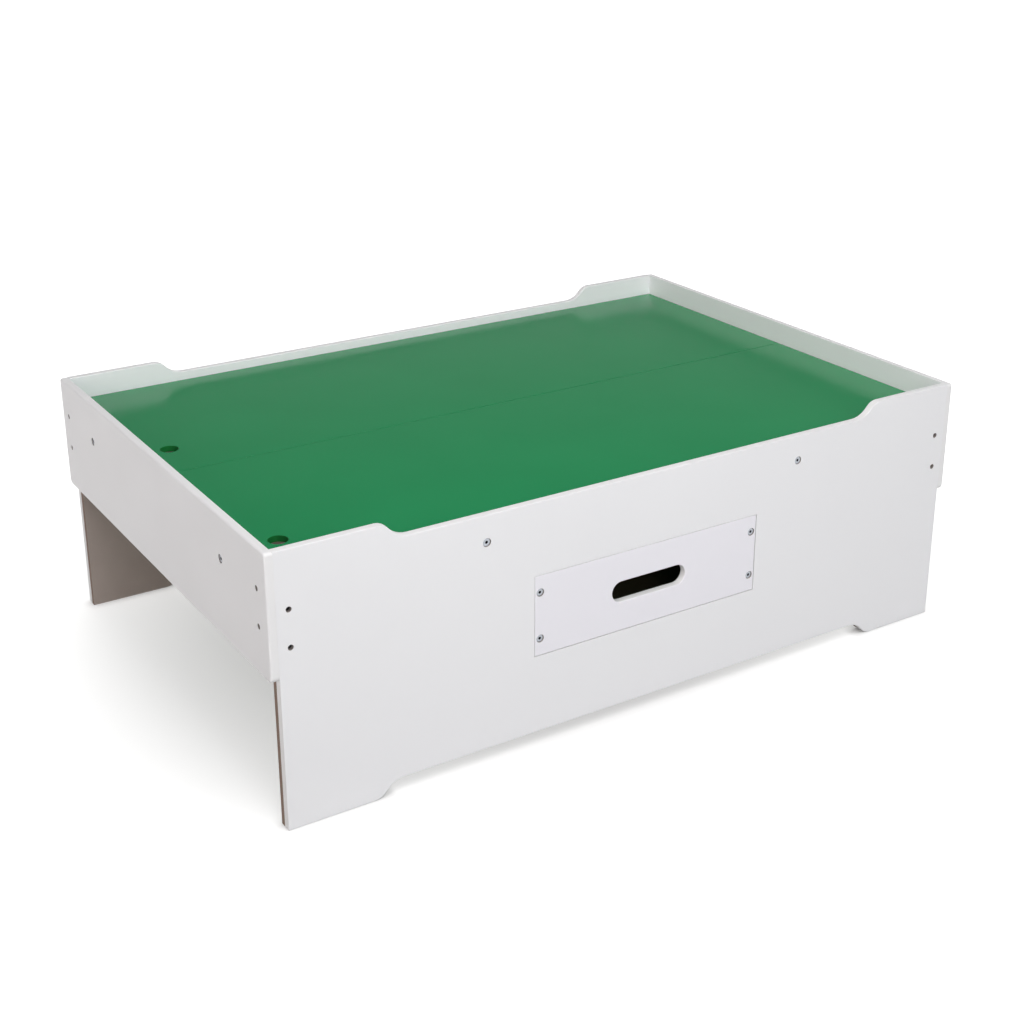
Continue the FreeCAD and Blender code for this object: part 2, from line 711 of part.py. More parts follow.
for hand_name, hand in (("left", -1), ("right", 1)):
    label = hand_name + "_drawer_side"
    side_body = doc.addObject("PartDesign::Body", label)
    place(side_body, ZERO, -long_face, ZERO)
    profile = new_sketch(side_body, "XZ_Plane", label + "_profile")
    draw_outline(profile, [(reach * hand, level) for reach, level in (
        (side_inside, side_bottom),
        (side_outside, side_bottom),
        (side_outside, runner_groove_low),
        (runner_groove, runner_groove_low),
        (runner_groove, runner_groove_high),
        (side_outside, runner_groove_high),
        (side_outside, side_top),
        (side_inside, side_top),
        (side_inside, groove_top),
        (side_inside + bottom_groove_depth, groove_top),
        (side_inside + bottom_groove_depth, groove_bottom),
        (side_inside, groove_bottom),
    )])
    pad(side_body, profile, side_length, reverse=True)
    ease(side_body, label + "_arris", side_arris_round,
         lambda spot: near(spot.z, side_top) and not near(abs(spot.x), side_middle))
    drill(side_body, "XZ_Plane", label + "_front_pilots",
          [(side_middle * hand, level) for level in drawer_screw_levels], drawer_pilot, front_pilot_depth)
    drill(side_body, "YZ_Plane", label + "_back_holes", back_screw_spots,
          drawer_screw_radius + bolt_clearance, side_thickness + cut_overrun, side_outside * hand, hand < 0)
    drill(side_body, "YZ_Plane", label + "_back_recesses", back_screw_spots,
          back_head_radius + bolt_clearance, drawer_recess_depth, side_outside * hand, hand < 0)
    keep(side_body, label)


# Drawer back, held between the sides by screws through them.
back_near = side_length - side_thickness
drawer_back = doc.addObject("PartDesign::Body", "drawer_back")
place(drawer_back, ZERO, -long_face, ZERO)
back_profile = new_sketch(drawer_back, "YZ_Plane", "drawer_back_profile", -side_inside)
draw_outline(back_profile, [
    (back_near, side_bottom),
    (side_length, side_bottom),
    (side_length, side_top),
    (back_near, side_top),
    (back_near, groove_top),
    (back_near + bottom_groove_depth, groove_top),
    (back_near + bottom_groove_depth, groove_bottom),
    (back_near, groove_bottom),
])
pad(drawer_back, back_profile, side_inside * 2)
ease(drawer_back, "drawer_back_arris", side_arris_round,
     lambda spot: near(spot.z, side_top) and not near(spot.y, back_middle))
for hand_name, hand in (("left", -1), ("right", 1)):
    drill(drawer_back, "YZ_Plane", "drawer_back_%s_pilots" % hand_name, back_screw_spots, drawer_pilot,
          back_pilot_depth, side_inside * hand, hand < 0)
keep(drawer_back, "drawer_back")


# Drawer bottom, a thin panel held in the grooves all round.
bottom_half = groove_half - groove_clearance
bottom_front = groove_clearance - bottom_groove_depth - long_face
bottom_end = back_near + bottom_groove_depth - groove_clearance - long_face
keep(block("drawer_bottom",
           (-bottom_half, bottom_front, groove_bottom + groove_clearance),
           (bottom_half, bottom_end, groove_top - groove_clearance)), "drawer_bottom")


# Drawer stops stand on the sides and meet the lining above its opening, with a little play past the travel.
stop_front = stop_travel + stop_play - lining_face
stop_screw_hole = stop_screw_radius + tight_clearance
stop_bodies = []
for hand_name, hand in (("left", -1), ("right", 1)):
    name = hand_name + "_stop"
    stop_body = doc.addObject("PartDesign::Body", name)
    place(stop_body, ZERO, stop_front, side_top)
    stop_outline = new_sketch(stop_body, "XY_Plane", name + "_outline")
    draw_outline(stop_outline, rectangle((side_inside * hand, ZERO), (side_outside * hand, stop_length)))
    pad(stop_body, stop_outline, stop_height)
    ease(stop_body, name + "_arris", stop_arris_round, lambda spot: near(spot.z, stop_height))
    drill(stop_body, "XY_Plane", name + "_screw_hole", [(side_middle * hand, stop_length / 2)],
          stop_screw_hole, stop_height + cut_overrun, reverse=True)
    drill(stop_body, "XY_Plane", name + "_screw_recess", [(side_middle * hand, stop_length / 2)],
          stop_head_radius + bolt_clearance, drawer_recess_depth, stop_height)
    stop_bodies.append(stop_body)
    side_body = [piece for piece in pieces if piece.Label == hand_name + "_drawer_side"][0]
    drill(side_body, "XY_Plane", name + "_pilot",
          [(side_middle * hand, stop_front + long_face + stop_length / 2)], stop_screw_hole,
          drawer_recess_depth + stop_screw_length + cut_overrun - stop_height, side_top)
drawer_stops = doc.addObject("Part::Compound", "drawer_stops")
drawer_stops.Links = stop_bodies
keep(drawer_stops, "drawer_stops")


# Runners span from lining to lining beside the drawer, dowelled at both ends.
runner_span = lining_face * 2
runner_outside = runner_inside + runner_width
runner_low = drawer_middle - runner_height / 2
runner_high = drawer_middle + runner_height / 2
tongue_low = drawer_middle - tongue_height / 2
tongue_high = drawer_middle + tongue_height / 2
tongue_tip = runner_inside - tongue_depth
dowel_in_runner = dowel_length - lining_thickness + tight_clearance

for hand_name, hand in (("left", -1), ("right", 1)):
    label = hand_name + "_drawer_runner"
    runner = doc.addObject("PartDesign::Body", label)
    place(runner, ZERO, -lining_face, ZERO)
    profile = new_sketch(runner, "XZ_Plane", label + "_profile")
    draw_outline(profile, [(reach * hand, level) for reach, level in (
        (runner_inside, runner_low),
        (runner_outside, runner_low),
        (runner_outside, runner_high),
        (runner_inside, runner_high),
        (runner_inside, tongue_high),
        (tongue_tip, tongue_high),
        (tongue_tip, tongue_low),
        (runner_inside, tongue_low),
    )])
    pad(runner, profile, runner_span, reverse=True)
    spots = [(runner_dowel_x * hand, level) for level in runner_dowel_levels]
    drill(runner, "XZ_Plane", label + "_front_dowel_holes", spots, dowel_hole, dowel_in_runner)
    drill(runner, "XZ_Plane", label + "_back_dowel_holes", spots, dowel_hole, dowel_in_runner, -runner_span,
          True)
    keep(runner, label)


# Fasteners: one master of each kind, turned on its own axis, and linked wherever the kind is used.
def fastener(name, head_radius, head_height, shank_radius, length, point):
    """A screw or bolt with its head's top at the origin, its shank along -Z and a hexagon socket."""
    body = doc.addObject("PartDesign::Body", name)
    sketch = new_sketch(body, "XZ_Plane", name + "_profile")
    tip = shank_radius / 4
    draw_outline(sketch, [
        (ZERO, -length),
        (tip, -length),
        (shank_radius, point - length),
        (shank_radius, -head_height),
        (head_radius, -head_height),
        (head_radius, -head_chamfer),
        (head_radius - head_chamfer, ZERO),
        (ZERO, ZERO),
    ])
    turned = body.newObject("PartDesign::Revolution", name + "_turned")
    turned.Profile = sketch
    turned.ReferenceAxis = (sketch, ["V_Axis"])
    turned.Angle = 360
    socket = new_sketch(body, "XY_Plane", name + "_socket")
    reach = socket_width / math.sqrt(3)
    corner_angles = [math.radians(60 * step) for step in range(6)]
    draw_outline(socket, [(reach * math.cos(angle), reach * math.sin(angle)) for angle in corner_angles])
    pocket(body, socket, socket_depth)
    return body


def plain_pin(name, radius, length):
    """A round pin with its middle at the origin, along Z."""
    body = doc.addObject("PartDesign::Body", name)
    sketch = new_sketch(body, "XZ_Plane", name + "_profile")
    draw_outline(sketch, [
        (ZERO, -length / 2),
        (radius - head_chamfer, -length / 2),
        (radius, head_chamfer - length / 2),
        (radius, length / 2 - head_chamfer),
        (radius - head_chamfer, length / 2),
        (ZERO, length / 2),
    ])
    turned = body.newObject("PartDesign::Revolution", name + "_turned")
    turned.Profile = sketch
    turned.ReferenceAxis = (sketch, ["V_Axis"])
    turned.Angle = 360
    return body


def group(label, master, spots):
    """One node of equal pieces: a link to the master at each spot, its +Z along a direction."""
    links = []
    for index, (direction, x, y, z) in enumerate(spots):
        link = doc.addObject("App::Link", "%s_%d" % (label, index))
        link.LinkedObject = master
        link.LinkTransform = False
        point_at(link, direction)
        place(link, x, y, z)
        links.append(link)
    compound = doc.addObject("Part::Compound", label)
    compound.Links = links
    return keep(compound, label)


wall = panel_thickness + lining_thickness
bolt_seat = bolt_recess_depth - bolt_head_height
beam_bolt = fastener("beam_bolt", bolt_head_radius, bolt_head_height, bolt_radius,
                     wall + beam_bolt_reach - bolt_seat, head_chamfer)
ledger_bolt = fastener("ledger_bolt", bolt_head_radius, bolt_head_height, bolt_radius,
                       panel_thickness + ledger_bolt_reach - bolt_seat, head_chamfer)
corner_screw = fastener("corner_screw", corner_head_radius, corner_head_height, corner_screw_radius,
                        corner_head_height + corner_screw_length, point_length)
drawer_screw = fastener("drawer_screw", drawer_head_radius, drawer_head_height, drawer_screw_radius,
                        drawer_head_height + drawer_screw_length, point_length)
back_screw = fastener("back_screw", back_head_radius, drawer_head_height, drawer_screw_radius,
                      drawer_head_height + back_screw_length, point_length)
stop_screw = fastener("stop_screw", stop_head_radius, drawer_head_height, stop_screw_radius,
                      drawer_head_height + stop_screw_length, point_length)
dowel = plain_pin("dowel", dowel_radius, dowel_length)

bolt_head_y = half_width - bolt_seat
bolt_head_x = half_length - bolt_seat
screw_head_y = half_width - corner_recess_depth + corner_head_height
screw_head_x = half_length - corner_recess_depth + corner_head_height
drawer_head = drawer_recess_depth - drawer_head_height

for side_name, side in (("front", -1), ("back", 1)):
    outwards = BACK * side
    group(side_name + "_beam_bolts", beam_bolt,
          [(outwards, x, bolt_head_y * side, z) for x, z in bolt_spots])
    group(side_name + "_corner_screws", corner_screw,
          [(outwards, x, screw_head_y * side, z) for x, z in long_screw_spots])
for end_name, end in (("left", -1), ("right", 1)):
    outwards = Vector(end, 0, 0)
    group(end_name + "_ledger_bolts", ledger_bolt,
          [(outwards, bolt_head_x * end, y, z) for y, z in ledger_bolt_spots])
    group(end_name + "_corner_screws", corner_screw,
          [(outwards, screw_head_x * end, y, z) for y, z in end_screw_spots])

group("drawer_front_screws", drawer_screw,
      [(FRONT, x, drawer_head - half_width, z) for x, z in front_screw_spots])
group("drawer_back_screws", back_screw,
      [(Vector(hand, 0, 0), (side_outside - drawer_head) * hand, y - long_face, z)
       for hand in SIDES for y, z in back_screw_spots])
group("drawer_stop_screws", stop_screw,
      [(UP, side_middle * hand, stop_front + stop_length / 2, side_top + stop_height - drawer_head)
       for hand in SIDES])

dowel_place = lining_face + lining_thickness - dowel_length / 2
group("beam_dowels", dowel,
      [(BACK, x, dowel_place * side, z) for side in SIDES for x, z in dowel_spots])
group("runner_dowels", dowel,
      [(BACK, x, dowel_place * side, z) for side in SIDES for x, z in runner_dowel_spots])


# Barrel nuts stand upright in the beams and ledgers, each with a cross hole for its bolt.
def barrel_nut(name, outwards):
    """A barrel nut with its middle at the origin, upright, and its cross hole along the bolt."""
    barrel = rod(name + "_barrel", (ZERO, ZERO, -nut_length / 2), UP, nut_radius, nut_length)
    cross = rod(name + "_thread", tuple(nut_radius * reach for reach in outwards * 2), outwards * -1,
                bolt_radius + tight_clearance, nut_radius * 4)
    return bored(name, barrel, [cross])


beam_nut = barrel_nut("beam_nut", BACK)
ledger_nut = barrel_nut("ledger_nut", Vector(1, 0, 0))
group("beam_barrel_nuts", beam_nut,
      [(UP, beam_place * end, (lining_face - beam_nut_inset) * side, bolt_level)
       for end in SIDES for side in SIDES])
group("ledger_barrel_nuts", ledger_nut,
      [(UP, post_middle_x * end, ledger_bolt_place * side, bolt_level)
       for end in SIDES for side in SIDES])


def check_model():
    """Stop unless every object is sound, every cut removes something and every piece is valid."""
    doc.recompute()
    for item in doc.Objects:
        if "Invalid" in item.State or "Error" in item.State:
            raise RuntimeError("%s failed: %s" % (item.Name, item.State))
        if item.TypeId == "PartDesign::Pocket":
            if item.Shape.Volume >= item.BaseFeature.Shape.Volume:
                raise RuntimeError("%s cuts nothing" % item.Name)
    for piece in pieces:
        if piece.Shape.isNull() or not piece.Shape.isValid():
            raise RuntimeError("%s has no valid shape" % piece.Label)


check_model()
os.makedirs("parts", exist_ok=True)
for piece in pieces:
    piece.Shape.exportStep(os.path.join("parts", piece.Label + ".step"))
    print("%-28s %d solids, %.0f mm3" % (piece.Label, len(piece.Shape.Solids), piece.Shape.Volume))
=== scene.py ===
import math

import bpy
import numpy as np
from mathutils import Matrix, Vector


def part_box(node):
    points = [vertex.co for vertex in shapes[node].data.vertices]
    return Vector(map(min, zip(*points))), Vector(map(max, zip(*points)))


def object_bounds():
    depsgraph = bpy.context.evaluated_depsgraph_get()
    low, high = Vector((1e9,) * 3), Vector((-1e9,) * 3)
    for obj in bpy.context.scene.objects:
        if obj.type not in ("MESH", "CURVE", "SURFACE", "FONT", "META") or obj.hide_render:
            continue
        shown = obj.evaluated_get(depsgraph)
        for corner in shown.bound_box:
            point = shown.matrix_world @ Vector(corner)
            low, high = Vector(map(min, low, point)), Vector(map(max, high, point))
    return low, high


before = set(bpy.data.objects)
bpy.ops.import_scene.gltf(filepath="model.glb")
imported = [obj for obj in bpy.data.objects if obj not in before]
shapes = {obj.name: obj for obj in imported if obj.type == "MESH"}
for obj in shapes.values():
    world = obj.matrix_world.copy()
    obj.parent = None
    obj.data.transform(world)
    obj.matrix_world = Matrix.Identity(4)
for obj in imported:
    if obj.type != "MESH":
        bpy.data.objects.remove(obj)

cad_low, cad_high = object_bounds()


# Long panels: 13 mm fibreboard, cut with a dipped rim above and an arch between two feet below.
# Sprayed with white satin paint, so the flat faces are smooth and the cut edges a little duller.
# The holes for bolts and screws are drilled after painting, and their walls show pale dusty board.
def new_finish(name):
    """A material with an empty node tree apart from its shader and its output."""
    finish = bpy.data.materials.new(name)
    finish.use_nodes = True
    return finish, finish.node_tree, finish.node_tree.nodes["Principled BSDF"]


def wire(tree, source, socket):
    """Set a socket to a plain value, or link it to another node's output."""
    if isinstance(source, bpy.types.NodeSocket):
        tree.links.new(source, socket)
    else:
        socket.default_value = source


def calc(tree, operation, *values):
    """One arithmetic node on numbers or outputs."""
    sum_node = tree.nodes.new("ShaderNodeMath")
    sum_node.operation = operation
    for socket, value in zip(sum_node.inputs, values):
        wire(tree, value, socket)
    return sum_node.outputs[0]


def vector_calc(tree, operation, *values):
    """One arithmetic node on vectors. Gives its vector, or its number for a distance or a dot product."""
    vector_node = tree.nodes.new("ShaderNodeVectorMath")
    vector_node.operation = operation
    for socket, value in zip(vector_node.inputs, values):
        wire(tree, value, socket)
    return vector_node.outputs["Value" if operation in ("DISTANCE", "DOT_PRODUCT") else "Vector"]


def place_on(tree):
    """The point of the piece, in metres in the frame of the whole table."""
    return tree.nodes.new("ShaderNodeTexCoord").outputs["Object"]


def facing(tree, axis):
    """How squarely the surface faces along an axis, from 0 to 1."""
    normal = tree.nodes.new("ShaderNodeTexCoord").outputs["Normal"]
    return calc(tree, "ABSOLUTE", vector_calc(tree, "DOT_PRODUCT", normal, axis))


def stretched(tree, vector, stretch):
    """A point with each axis multiplied, to draw a pattern out along the others."""
    return vector_calc(tree, "MULTIPLY", vector, stretch)


def mottle(tree, vector, per_metre, detail):
    """Cloudy noise from 0 to 1, with so many clouds to the metre and so many finer layers."""
    noise = tree.nodes.new("ShaderNodeTexNoise")
    wire(tree, vector, noise.inputs["Vector"])
    noise.inputs["Scale"].default_value = per_metre
    noise.inputs["Detail"].default_value = detail
    return noise.outputs["Fac"]


def spread(tree, value, from_range, to_range):
    """A number carried from one range to another, held at the ends."""
    ramp = tree.nodes.new("ShaderNodeMapRange")
    for socket, number in zip(ramp.inputs, (value,) + from_range + to_range):
        wire(tree, number, socket)
    return ramp.outputs["Result"]


def blend_colour(tree, factor, first, second):
    """Two colours mixed by a factor."""
    mix = tree.nodes.new("ShaderNodeMix")
    mix.data_type = "RGBA"
    wire(tree, factor, mix.inputs["Factor"])
    wire(tree, first, mix.inputs["A"])
    wire(tree, second, mix.inputs["B"])
    return mix.outputs["Result"]


def ripple(tree, height, depth, under=None):
    """A bump of a given depth in metres, over another bump."""
    bump = tree.nodes.new("ShaderNodeBump")
    bump.inputs["Strength"].default_value = 1.0
    bump.inputs["Distance"].default_value = depth
    wire(tree, height, bump.inputs["Height"])
    if under is not None:
        wire(tree, under, bump.inputs["Normal"])
    return bump.outputs["Normal"]


# Colours are linear red, green, blue and alpha.
white_light = (0.868, 0.872, 0.892, 1.0)
white_shade = (0.840, 0.845, 0.867, 1.0)
white_edge = (0.850, 0.850, 0.860, 1.0)
raw_dark = (0.235, 0.170, 0.140, 1.0)
raw_light = (0.330, 0.250, 0.205, 1.0)
hole_dark = (0.260, 0.220, 0.205, 1.0)
hole_light = (0.440, 0.400, 0.385, 1.0)
paint_lip = 0.0006
hole_slack = 0.0004
cloud_per_metre = 3.5
fibre_per_metre = 900.0
patch_per_metre = 11.0
spray_per_metre = 380.0
wave_per_metre = 14.0
spray_depth = 0.00002
wave_depth = 0.00010
fuzz_depth = 0.0003
plain_detail = 1.0
soft_detail = 2.0
rich_detail = 3.0
fine_detail = 4.0
full_shares = (0.0, 1.0)
paint_flat_shares = (0.3, 0.8)
patch_shares = (0.3, 0.7)
paint_rough_shares = (0.36, 0.43)
edge_dull_share = 0.08
bare_rough_share = 0.9
paint_shine_share = 0.4


def near_holes(tree, point, holes):
    """1 inside any of the round holes, which are given as a centre and a radius, else 0."""
    inside = None
    for centre, radius in holes:
        gap = vector_calc(tree, "DISTANCE", point, centre)
        within = calc(tree, "LESS_THAN", gap, radius + hole_slack)
        inside = within if inside is None else calc(tree, "MAXIMUM", inside, within)
    return inside


def satin_white(name, across, holes, outer_face, light, shade):
    """White satin paint on fibreboard, clouded between a light and a shade. Across is the axis through the
    board, holes its round holes as centres and radii, and outer_face how far out the painted face lies."""
    finish, tree, shader = new_finish(name)
    point = place_on(tree)
    mirrored = vector_calc(tree, "ABSOLUTE", point)
    in_plane = tuple(1.0 - reach for reach in across)
    on_plane = stretched(tree, mirrored, in_plane)
    depth = vector_calc(tree, "DOT_PRODUCT", mirrored, across)
    below_paint = calc(tree, "LESS_THAN", depth, outer_face - paint_lip)
    bare = calc(tree, "MULTIPLY", near_holes(tree, on_plane, holes), below_paint)
    flat = spread(tree, facing(tree, across), paint_flat_shares, full_shares)

    clouds = mottle(tree, point, cloud_per_metre, rich_detail)
    coat = blend_colour(tree, clouds, shade, light)
    coat = blend_colour(tree, flat, white_edge, coat)
    fibres = mottle(tree, point, fibre_per_metre, fine_detail)
    board = blend_colour(tree, fibres, hole_dark, hole_light)
    wire(tree, blend_colour(tree, bare, coat, board), shader.inputs["Base Color"])

    patches = mottle(tree, point, patch_per_metre, soft_detail)
    face_rough = spread(tree, patches, patch_shares, paint_rough_shares)
    edge_dull = calc(tree, "MULTIPLY", calc(tree, "SUBTRACT", 1.0, flat), edge_dull_share)
    coat_rough = calc(tree, "ADD", face_rough, edge_dull)
    bare_rough = calc(tree, "MULTIPLY", bare, bare_rough_share)
    wire(tree, calc(tree, "MAXIMUM", coat_rough, bare_rough), shader.inputs["Roughness"])
    shader.inputs["Specular IOR Level"].default_value = paint_shine_share

    spray = ripple(tree, mottle(tree, point, spray_per_metre, plain_detail), spray_depth)
    waves = ripple(tree, mottle(tree, point, wave_per_metre, plain_detail), wave_depth, spray)
    fuzz = ripple(tree, calc(tree, "MULTIPLY", fibres, bare), fuzz_depth, waves)
    wire(tree, fuzz, shader.inputs["Normal"])
    return finish


def heads_in(node, axis, radius):
    """Centres of the round heads of a node of fasteners that lie along an axis, in the plane across it.
    They are those of the lowest and the highest row, on the positive side, where mirrored points fall."""
    low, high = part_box(node)
    along = 1 - axis
    centres = []
    for level in (low.z + radius, high.z - radius):
        centre = [0.0, 0.0, level]
        centre[along] = high[along] - radius
        centres.append(tuple(centre))
    return centres


bolt_head = 0.0063
bolt_recess = 0.0070
corner_head = 0.0038
corner_recess = 0.0045
along_x = (1.0, 0.0, 0.0)
along_y = (0.0, 1.0, 0.0)
along_z = (0.0, 0.0, 1.0)

long_holes = [(centre, bolt_recess) for centre in heads_in("front_beam_bolts", 1, bolt_head)]
long_holes += [(centre, corner_recess) for centre in heads_in("front_corner_screws", 1, corner_head)]
long_white = satin_white("long_panel_white", along_y, long_holes, cad_high.y, white_light, white_shade)
for name in ("front_panel", "back_panel"):
    shapes[name].material_slots[0].material = long_white


# Linings: raw 10 mm fibreboard glued behind the long panels, notched round the corner posts.
# Their top edges carry the long edges of the play boards. They are never painted.
# The pressed faces are smooth and taupe, and the sawn edges are darker and fibrous.
lining_dark = (0.500, 0.428, 0.392, 1.0)
lining_light = (0.600, 0.518, 0.478, 1.0)
press_per_metre = 22.0
speck_per_metre = 750.0
nap_depth = 0.00012
press_depth = 0.00010
raw_flat_shares = (0.4, 0.8)
speck_shares = (0.35, 0.65)
speck_tone_shares = (0.0, 0.22)
raw_rough_shares = (0.92, 0.74)
raw_shine_share = 0.25


def raw_fibreboard(name, across, face_dark, face_light):
    """Bare fibreboard: smooth mottled faces square to one axis, and darker fuzzy sawn edges."""
    finish, tree, shader = new_finish(name)
    point = place_on(tree)
    flat = spread(tree, facing(tree, across), raw_flat_shares, full_shares)
    clouds = mottle(tree, point, press_per_metre, fine_detail)
    specks = mottle(tree, point, speck_per_metre, fine_detail)
    face = blend_colour(tree, clouds, face_dark, face_light)
    edge = blend_colour(tree, specks, raw_dark, raw_light)
    speck_tone = spread(tree, specks, speck_shares, speck_tone_shares)
    face = blend_colour(tree, speck_tone, face, raw_dark)
    wire(tree, blend_colour(tree, flat, edge, face), shader.inputs["Base Color"])
    wire(tree, spread(tree, flat, full_shares, raw_rough_shares), shader.inputs["Roughness"])
    shader.inputs["Specular IOR Level"].default_value = raw_shine_share
    nap = ripple(tree, specks, nap_depth)
    wire(tree, ripple(tree, clouds, press_depth, nap), shader.inputs["Normal"])
    return finish


lining_board = raw_fibreboard("lining_board", along_y, lining_dark, lining_light)
for name in ("front_lining", "back_lining"):
    shapes[name].material_slots[0].material = lining_board


# End panels: the same painted board, cut as aprons that cap the ends of the long panels.
# Their outer arrises are well rounded before painting, and the inner ones barely, so the corners close up.
# Bolts hold the end ledgers to them, and screws in deep holes hold the corner posts.
end_holes = [(centre, bolt_recess) for centre in heads_in("left_ledger_bolts", 0, bolt_head)]
end_holes += [(centre, corner_recess) for centre in heads_in("left_corner_screws", 0, corner_head)]
end_white = satin_white("end_panel_white", along_x, end_holes, cad_high.x, white_light, white_shade)
for name in ("left_end_panel", "right_end_panel"):
    shapes[name].material_slots[0].material = end_white


# Corner posts, end ledgers and cross beams: planed 38 mm softwood, left bare under the boards.
# Posts stand at the corners, ledgers lie along the end panels, and beams run from lining to lining.
# Growth rings run along each length, with darker late wood, and show as arcs on the sawn ends.
early_wood = (0.640, 0.460, 0.270, 1.0)
late_wood = (0.430, 0.255, 0.120, 1.0)
grain_axes = {"Y": along_y, "Z": along_z}
ring_density = 55.0
ring_bend = 1.6
ring_bend_scale = 0.35
thread_per_metre = 900.0
thread_depth = 0.00010
post_heart_past_side = 0.030
post_heart_past_front = 0.020
bar_heart_past_side = 0.025
bar_heart_below = 0.035
ring_drawn_share = 0.92
thread_drawn_share = 0.985
late_shares = (0.45, 1.0)
late_tone_shares = (0.0, 0.85)
thread_shares = (0.3, 0.75)
thread_tone_shares = (0.0, 0.30)
grain_shares = (0.2, 0.8)
softwood_rough_shares = (0.58, 0.72)
wood_shine_share = 0.3


def softwood(name, grain, heart):
    """Planed softwood: rings round a heart line along the grain, bent by slow noise, with fine fibres."""
    finish, tree, shader = new_finish(name)
    point = place_on(tree)
    long_axis = grain_axes[grain]
    drawn_out = tuple(1.0 - ring_drawn_share * reach for reach in long_axis)
    slow = stretched(tree, point, drawn_out)
    rings = tree.nodes.new("ShaderNodeTexWave")
    rings.wave_type = "RINGS"
    rings.rings_direction = grain
    rings.wave_profile = "SAW"
    wire(tree, vector_calc(tree, "SUBTRACT", slow, heart), rings.inputs["Vector"])
    rings.inputs["Scale"].default_value = ring_density
    rings.inputs["Distortion"].default_value = ring_bend
    rings.inputs["Detail"].default_value = soft_detail
    rings.inputs["Detail Scale"].default_value = ring_bend_scale
    late = spread(tree, rings.outputs["Fac"], late_shares, late_tone_shares)
    wood = blend_colour(tree, late, early_wood, late_wood)
    thread_axes = tuple(1.0 - thread_drawn_share * reach for reach in long_axis)
    threads = mottle(tree, stretched(tree, point, thread_axes), thread_per_metre, rich_detail)
    thread_tone = spread(tree, threads, thread_shares, thread_tone_shares)
    wire(tree, blend_colour(tree, thread_tone, wood, late_wood), shader.inputs["Base Color"])
    wire(tree, spread(tree, threads, grain_shares, softwood_rough_shares), shader.inputs["Roughness"])
    shader.inputs["Specular IOR Level"].default_value = wood_shine_share
    wire(tree, ripple(tree, threads, thread_depth), shader.inputs["Normal"])
    return finish


for end in ("left", "right"):
    for side in ("front", "back"):
        post = "%s_%s_corner_post" % (side, end)
        low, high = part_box(post)
        heart = Vector((high.x + post_heart_past_side, low.y - post_heart_past_front, 0.0))
        shapes[post].material_slots[0].material = softwood(post + "_wood", "Z", heart)
    for role in ("end_ledger", "cross_beam"):
        bar = "%s_%s" % (end, role)
        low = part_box(bar)[0]
        heart = Vector((low.x - bar_heart_past_side, 0.0, low.z - bar_heart_below))
        shapes[bar].material_slots[0].material = softwood(bar + "_wood", "Y", heart)


# Bolts and barrel nuts: machined steel, plated with bright zinc, with a hexagon socket in each head.
# Each bolt sinks into a shallow recess of a panel and draws a beam or ledger up by its barrel nut.
# The plating is slightly cloudy, with fine tool marks, and the sockets are painted near black as shade.
zinc_bright = (0.520, 0.545, 0.590, 1.0)
zinc_cloudy = (0.300, 0.320, 0.355, 1.0)
# Near black painted into the hexagon sockets as shade.
socket_shade = (0.020, 0.020, 0.024, 1.0)
socket_reach = 0.0028
head_skin = 0.0001
plating_per_metre = 260.0
mark_per_metre = 2600.0
mark_depth = 0.00002
mark_shares = (0.25, 0.75)
head_polish_shares = (0.30, 0.46)
nut_polish_shares = (0.34, 0.50)


def plated_steel(name, bright, cloudy, polish):
    """Plated steel: a metal with cloudy tone, and fine tool marks that spread its polish over a range."""
    finish, tree, shader = new_finish(name)
    point = place_on(tree)
    clouds = mottle(tree, point, plating_per_metre, rich_detail)
    marks = mottle(tree, point, mark_per_metre, soft_detail)
    wire(tree, blend_colour(tree, clouds, cloudy, bright), shader.inputs["Base Color"])
    wire(tree, spread(tree, marks, mark_shares, polish), shader.inputs["Roughness"])
    shader.inputs["Metallic"].default_value = 1.0
    wire(tree, ripple(tree, marks, mark_depth), shader.inputs["Normal"])
    return finish


def zinc_heads(name, node, axis, head_radius, across):
    """Bright zinc on bolts or screws with their heads outwards along an axis, and painted shade in their
    sockets.
    """
    finish = plated_steel(name, zinc_bright, zinc_cloudy, head_polish_shares)
    tree = finish.node_tree
    shader = tree.nodes["Principled BSDF"]
    mirrored = vector_calc(tree, "ABSOLUTE", place_on(tree))
    on_plane = stretched(tree, mirrored, tuple(1.0 - reach for reach in across))
    low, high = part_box(node)
    head_top = max(abs(low[axis]), abs(high[axis]))
    reach_out = vector_calc(tree, "DOT_PRODUCT", mirrored, across)
    sunk = calc(tree, "LESS_THAN", reach_out, head_top - head_skin)
    sockets = [(centre, socket_reach) for centre in heads_in(node, axis, head_radius)]
    shaded_sockets = calc(tree, "MULTIPLY", near_holes(tree, on_plane, sockets), sunk)
    plated = shader.inputs["Base Color"].links[0].from_socket
    # The socket hollows below the head face take the near black: painted shade.
    wire(tree, blend_colour(tree, shaded_sockets, plated, socket_shade), shader.inputs["Base Color"])
    return finish


long_zinc = zinc_heads("long_bolt_zinc", "front_beam_bolts", 1, bolt_head, along_y)
for name in ("front_beam_bolts", "back_beam_bolts"):
    shapes[name].material_slots[0].material = long_zinc
end_zinc = zinc_heads("end_bolt_zinc", "left_ledger_bolts", 0, bolt_head, along_x)
for name in ("left_ledger_bolts", "right_ledger_bolts"):
    shapes[name].material_slots[0].material = end_zinc
nut_zinc = plated_steel("nut_zinc", zinc_bright, zinc_cloudy, nut_polish_shares)
for name in ("beam_barrel_nuts", "ledger_barrel_nuts"):
    shapes[name].material_slots[0].material = nut_zinc


